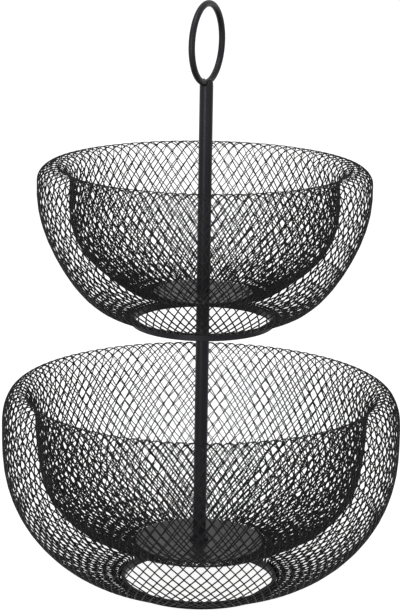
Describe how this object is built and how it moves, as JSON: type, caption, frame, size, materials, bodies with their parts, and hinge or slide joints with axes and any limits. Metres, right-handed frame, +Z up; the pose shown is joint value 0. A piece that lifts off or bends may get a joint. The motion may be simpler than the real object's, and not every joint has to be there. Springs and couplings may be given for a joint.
{
  "type": "two tier mesh basket",
  "caption": "Two stacked round bowls of double walled diamond mesh on a centre rod that ends in a ring handle, with a band under each bowl to stand on.",
  "frame": {"origin": "centre of the lower base band on the table", "axes": "+Z up along the centre rod, -Y towards the front of the pictured view"},
  "size_m": [0.3, 0.3, 0.4442],
  "materials": {
    "painted_mesh": "matt black powder coat on expanded mesh",
    "painted_plate": "matt black powder coat on flat sheet",
    "painted_steel": "matt black powder coat on tube, band and wire",
    "zinc_steel": "zinc plated"
  },
  "bodies": {
    "basket": {"lower_base_band": "painted_steel", "lower_mesh_bowl": "painted_mesh", "lower_plate": "painted_plate", "base_washer": "zinc_steel", "base_screw": "zinc_steel", "lower_rod": "painted_steel", "rod_collar": "painted_steel", "lower_rod_foot_insert": "zinc_steel", "lower_rod_top_insert": "zinc_steel", "joining_stud": "zinc_steel", "upper_plate": "painted_plate", "upper_base_band": "painted_steel", "upper_mesh_bowl": "painted_mesh"},
    "rod_thread": {"upper_rod_insert": "zinc_steel"},
    "top_rod": {"upper_rod": "painted_steel", "handle_weld": "painted_steel", "handle_ring": "painted_steel"}
  },
  "joints": [
    {"name": "rod_lift", "type": "slide", "parent": "basket", "child": "rod_thread", "axis": [0, 0, 1], "range_m": [0, 0.012]},
    {"name": "rod_turn", "type": "hinge", "parent": "rod_thread", "child": "top_rod", "pos_m": [0, 0, 0.2286], "axis": [0, 0, 1], "range_deg": [0, 4320]}
  ],
  "couplings": [
    {"joint": "rod_lift", "follows": "rod_turn", "m_per_rad": 0.00015915}
  ]
}
